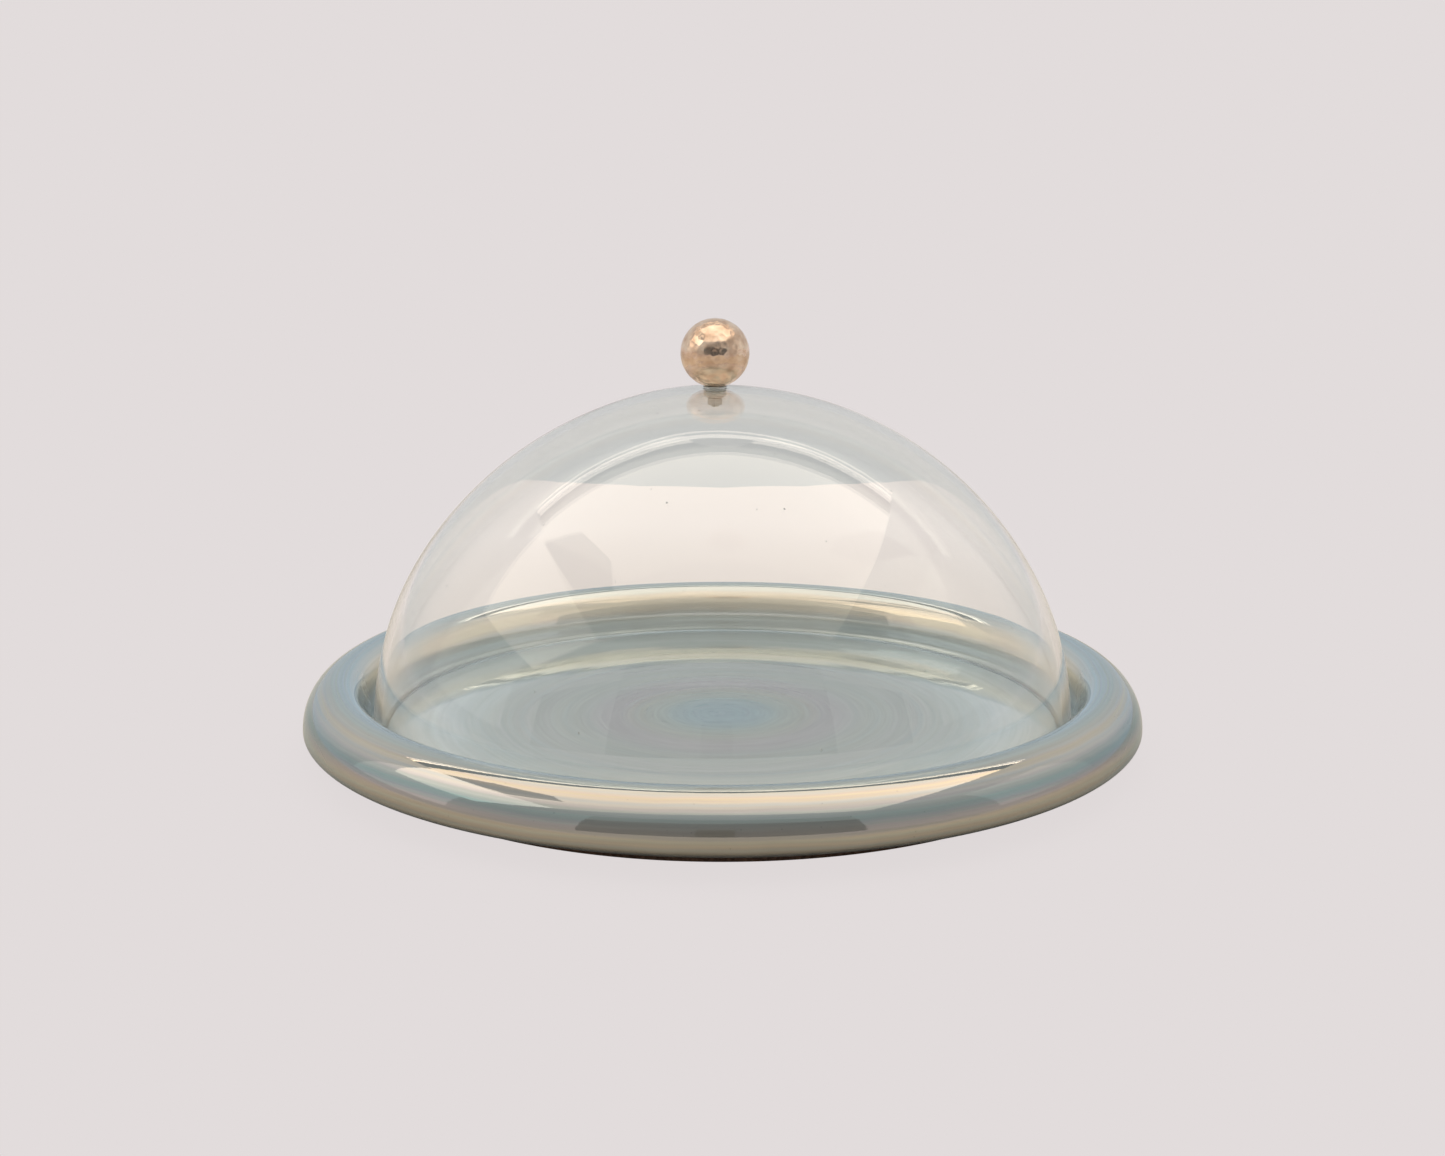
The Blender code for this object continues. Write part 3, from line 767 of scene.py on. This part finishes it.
def makePlatter(p):
    flatEnd = p["seatInner"] - p["seatStep"]
    outline = [(r, p["floorZ"]) for r in np.linspace(0.0, flatEnd, p["floorRows"])]
    outline += [(p["seatInner"], p["seatZ"]), (p["seatInner"] + p["seatRun"], p["seatZ"])]
    corner = p["cornerRadius"]
    cornerCentre = (p["innerRadius"] - corner, p["seatZ"] + corner)
    outline += ellipseArc(cornerCentre, (corner, corner), -90, 0, p["cornerRows"])
    spring = p["seatZ"] + corner
    slope = interpolate_bezier(
        (p["innerRadius"], spring), (p["innerRadius"], spring + p["footPull"]),
        (p["crownRadius"] - p["crownPull"], p["rimHeight"]), (p["crownRadius"], p["rimHeight"]), p["slopeRows"])
    outline += [tuple(point) for point in slope[1:]]
    outer = (p["outerRadius"] - p["crownRadius"], p["rimHeight"] - p["widestZ"])
    belly = (outer[0], p["widestZ"] - p["bellyZ"])
    rimCentre = (p["crownRadius"], p["widestZ"])
    outline += ellipseArc(rimCentre, outer, 90, 0, p["crownRows"])[1:]
    outline += ellipseArc(rimCentre, belly, 0, p["bellyEnd"], p["bellyRows"])[1:]
    glazeEnd = len(outline) - 1
    lip, step = p["glazeLip"], p["lipStep"]
    r, z = outline[-1]
    outline += [(r - step, z - lip * 0.5), (r - 2 * step, z + lip)]
    outside, inside, worn, chamfer = p["footOuter"], p["footInner"], p["footRound"], p["footChamfer"]
    outline += [(outside + p["coveStep"], p["coveTop"]), (outside, p["coveEnd"])]
    outline += [(outside, worn), (outside - chamfer, chamfer), (outside - worn, 0.0)]
    outline += [(inside + worn, 0.0), (inside, worn), (inside, p["footHeight"]), (0.0, p["footHeight"])]
    made, bands = turnedMesh("thrownPlatter", outline, p["steps"])
    unglazed = made.data.attributes.new("bare", "BOOLEAN", "FACE")
    unglazed.data.foreach_set("value", [b > glazeEnd + 1 for b in bands])
    made = applyTree(made, throwingRings(), {
        "Ring Depth": p["ringDepth"], "Ring Spacing": p["ringSpacing"], "Sway Depth": p["swayDepth"],
        "Spiral Reach": p["spiralReach"], "Lowest Z": p["lowestRing"], "Glaze": glaze, "Bare Clay": bareClay})
    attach(made, "platter")
    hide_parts("platter")


makePlatter(platter)

print("stage: glass dome")

dome = {
    "radius": 0.1378, "height": 0.1316, "fullness": 1.93, "wall": 0.0030, "footZ": 0.0097,
    "crownShift": -0.0029, "shiftReach": 0.060, "holeRadius": 0.0028, "steps": 288,
    "outerRows": 110, "innerRows": 90, "lipRows": 16, "wanderDepth": 0.00022,
    # the slow waves of the wall: share, waves round the turn, rise with height, start
    "waves": [(1.0, 2, 4.1, 0.0), (0.6, 3, -7.3, 1.2), (0.35, 5, 9.0, 0.4)],
    "seedsPerSquareMetre": 650.0, "leastSeed": 0.00010, "mostSeed": 0.00036, "seedDepth": 0.0015,
    "seedShape": (1.0, 1.35, 0.7), "seedDivisions": 3, "randomSeed": 4,
    # a point this far out along its own normal, in metres, is on the outer face of the wall
    "outerFace": 0.06,
}


def trappedSeeds():
    # small air bubbles caught in the middle of the wall, flattened with it as it was blown
    tree, source, sink = newTree("trappedSeeds", [
        ("Seeds Per Square Metre", "NodeSocketFloat", 600.0), ("Least Radius", "NodeSocketFloat", 0.0001),
        ("Most Radius", "NodeSocketFloat", 0.0003),
        ("Depth", "NodeSocketFloat", 0.0015), ("Random Seed", "NodeSocketInt", 1),
        ("Material", "NodeSocketMaterial", None)])
    place = addNode(tree, "GeometryNodeInputPosition")
    normal = addNode(tree, "GeometryNodeInputNormal")
    facing = addNode(tree, "ShaderNodeVectorMath", {0: place.outputs[0], 1: normal.outputs[0]},
        operation="DOT_PRODUCT")
    outer = addNode(tree, "FunctionNodeCompare", {0: facing.outputs["Value"], 1: dome["outerFace"]},
        data_type="FLOAT", operation="GREATER_THAN")
    spread = addNode(tree, "GeometryNodeDistributePointsOnFaces", {
        "Mesh": source.outputs["Geometry"], "Selection": outer.outputs[0],
        "Density": source.outputs["Seeds Per Square Metre"], "Seed": source.outputs["Random Seed"]})
    inward = mathOf(tree, "MULTIPLY", source.outputs["Depth"], -1.0)
    push = addNode(tree, "ShaderNodeVectorMath", {0: spread.outputs["Normal"], "Scale": inward.outputs[0]},
        operation="SCALE")
    sunk = addNode(tree, "GeometryNodeSetPosition",
        {"Geometry": spread.outputs["Points"], "Offset": push.outputs[0]})
    bubble = addNode(tree, "GeometryNodeMeshIcoSphere", {"Radius": 1.0, "Subdivisions": dome["seedDivisions"]})
    hollow = addNode(tree, "GeometryNodeFlipFaces", {0: bubble.outputs[0]})
    size = addNode(tree, "FunctionNodeRandomValue", {2: source.outputs["Least Radius"],
        3: source.outputs["Most Radius"], "Seed": source.outputs["Random Seed"]}, data_type="FLOAT")
    squashed = addNode(tree, "ShaderNodeVectorMath", {0: dome["seedShape"], "Scale": size.outputs[1]},
        operation="SCALE")
    seeds = addNode(tree, "GeometryNodeInstanceOnPoints",
        {"Points": sunk.outputs[0], "Instance": hollow.outputs[0], "Rotation": spread.outputs["Rotation"],
        "Scale": squashed.outputs[0]})
    joined = addNode(tree, "GeometryNodeJoinGeometry")
    tree.links.new(source.outputs["Geometry"], joined.inputs[0])
    tree.links.new(seeds.outputs[0], joined.inputs[0])
    smooth = addNode(tree, "GeometryNodeSetShadeSmooth", {"Geometry": joined.outputs[0]})
    real = addNode(tree, "GeometryNodeRealizeInstances", {0: smooth.outputs[0]})
    painted = addNode(tree, "GeometryNodeSetMaterial",
        {"Geometry": real.outputs[0], "Material": source.outputs["Material"]})
    tree.links.new(painted.outputs[0], sink.inputs[0])
    return tree


def domeArc(radius, height, footZ, startR, fullness, count):
    start = math.asin((startR / radius) ** (fullness / 2))
    points = []
    for i in range(count + 1):
        a = start + (math.pi / 2 - start) * i / count
        points.append((radius * math.sin(a) ** (2 / fullness),
            footZ + height * max(math.cos(a), 0.0) ** (2 / fullness)))
    return points


def makeDome(d):
    lip, z = d["wall"] / 2, d["footZ"]
    outer = domeArc(d["radius"], d["height"] - lip, z + lip, d["holeRadius"], d["fullness"], d["outerRows"])
    inner = domeArc(d["radius"] - d["wall"], d["height"] - d["wall"] - lip, z + lip, d["holeRadius"],
        d["fullness"], d["innerRows"])
    lipArc = ellipseArc((d["radius"] - lip, z + lip), (lip, lip), 0, -180, d["lipRows"])
    made, _ = turnedMesh("blownDome", outer + lipArc[1:-1] + inner[::-1], d["steps"], ring=True)
    co = placesOf(made)
    share = np.clip(1 - np.hypot(co[:, 0], co[:, 1]) / d["shiftReach"], 0, 1)
    turn = np.arctan2(co[:, 1], co[:, 0])
    high = (co[:, 2] - z) / d["height"]
    # blown glass is never quite round: slow waves that die out at the crown and the foot
    slow = sum(part * np.sin(count * turn + rise * high + start) for part, count, rise, start in d["waves"])
    spare = np.clip(high * (1 - high) * 4, 0, 1)
    swell = 1 + d["wanderDepth"] * slow * spare / d["radius"]
    co[:, 0] = co[:, 0] * swell + d["crownShift"] * share * share * (3 - 2 * share)
    co[:, 1] *= swell
    made.data.vertices.foreach_set("co", co.ravel())
    made = applyTree(made, trappedSeeds(), {
        "Seeds Per Square Metre": d["seedsPerSquareMetre"], "Least Radius": d["leastSeed"],
        "Most Radius": d["mostSeed"],
        "Depth": d["seedDepth"], "Random Seed": d["randomSeed"], "Material": glass})
    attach(made, "dome")
    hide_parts("glass_dome")


makeDome(dome)

print("stage: ball knob")

knob = {
    "radius": 0.01335, "axisX": -0.0029, "flatRadius": 0.0045,
    "dentRadius": 0.0021, "dentDepth": 0.00016, "mostDents": 400000.0, "seed": 7,
    # how unevenly the dents are struck, from the lightest to the deepest
    "strikes": (0.25, 1.3), "strikeScale": 130.0,
    "ballDivisions": 7, "dentDivisions": 4,
}


def hammeredBall():
    # a ball struck all over with a round-faced hammer, then flattened underneath
    tree, source, sink = newTree("hammeredBall", [
        ("Radius", "NodeSocketFloat", 0.013), ("Dent Radius", "NodeSocketFloat", 0.002),
        ("Dent Depth", "NodeSocketFloat", 0.0001),
        ("Seed", "NodeSocketInt", 1), ("Flat Z", "NodeSocketFloat", -0.012),
        ("Material", "NodeSocketMaterial", None)])
    ball = addNode(tree, "GeometryNodeMeshIcoSphere",
        {"Radius": source.outputs["Radius"], "Subdivisions": knob["ballDivisions"]})
    coarse = addNode(tree, "GeometryNodeMeshIcoSphere",
        {"Radius": source.outputs["Radius"], "Subdivisions": knob["dentDivisions"]})
    spread = addNode(tree, "GeometryNodeDistributePointsOnFaces", {
        "Mesh": coarse.outputs[0], "Distance Min": source.outputs["Dent Radius"],
        "Density Max": knob["mostDents"], "Seed": source.outputs["Seed"]}, distribute_method="POISSON")
    near = addNode(tree, "GeometryNodeProximity", {"Geometry": spread.outputs["Points"]},
        target_element="POINTS")
    share = remap(tree, near.outputs["Distance"], (0.0, source.outputs["Dent Radius"]), (1.0, 0.0),
        "SMOOTHERSTEP")
    blots = addNode(tree, "ShaderNodeTexNoise", {"Scale": knob["strikeScale"], "Detail": 1.0})
    uneven = remap(tree, blots.outputs[0], (0.35, 0.65), knob["strikes"])
    dent = mathOf(tree, "MULTIPLY", share.outputs[0], source.outputs["Dent Depth"])
    sized = mathOf(tree, "MULTIPLY", dent.outputs[0], uneven.outputs[0])
    inward = mathOf(tree, "MULTIPLY", sized.outputs[0], -1.0)
    normal = addNode(tree, "GeometryNodeInputNormal")
    push = addNode(tree, "ShaderNodeVectorMath", {0: normal.outputs[0], "Scale": inward.outputs[0]},
        operation="SCALE")
    struck = addNode(tree, "GeometryNodeSetPosition", {"Geometry": ball.outputs[0], "Offset": push.outputs[0]})
    place = addNode(tree, "GeometryNodeInputPosition")
    split = addNode(tree, "ShaderNodeSeparateXYZ", {0: place.outputs[0]})
    level = mathOf(tree, "MAXIMUM", split.outputs[2], source.outputs["Flat Z"])
    kept = addNode(tree, "ShaderNodeCombineXYZ",
        {0: split.outputs[0], 1: split.outputs[1], 2: level.outputs[0]})
    flat = addNode(tree, "GeometryNodeSetPosition",
        {"Geometry": struck.outputs[0], "Position": kept.outputs[0]})
    smooth = addNode(tree, "GeometryNodeSetShadeSmooth", {"Geometry": flat.outputs[0]})
    real = addNode(tree, "GeometryNodeRealizeInstances", {0: smooth.outputs[0]})
    painted = addNode(tree, "GeometryNodeSetMaterial",
        {"Geometry": real.outputs[0], "Material": source.outputs["Material"]})
    tree.links.new(painted.outputs[0], sink.inputs[0])
    return tree


def makeKnob(k):
    low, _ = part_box("ball_knob")
    drop = math.sqrt(k["radius"] ** 2 - k["flatRadius"] ** 2)
    mesh = bpy.data.meshes.new("hammeredKnob")
    made = bpy.data.objects.new("hammeredKnob", mesh)
    bpy.context.scene.collection.objects.link(made)
    made = applyTree(made, hammeredBall(), {
        "Radius": k["radius"], "Dent Radius": k["dentRadius"], "Dent Depth": k["dentDepth"],
        "Seed": k["seed"], "Flat Z": -drop, "Material": brass})
    co = placesOf(made) + np.array([k["axisX"], 0.0, low[2] + drop])
    made.data.vertices.foreach_set("co", co.ravel())
    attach(made, "dome")
    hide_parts("ball_knob")


makeKnob(knob)

print("stage: fixing under the knob")

fixing = {
    "knob_stud": steel, "knob_nut": steel, "metal_washer": steel,
    "seat_washer": silicone, "hole_bush": silicone, "soft_washer": silicone,
}

for node, finish in fixing.items():
    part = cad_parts[node]
    part.data.materials.clear()
    part.data.materials.append(finish)

print("stage: done")
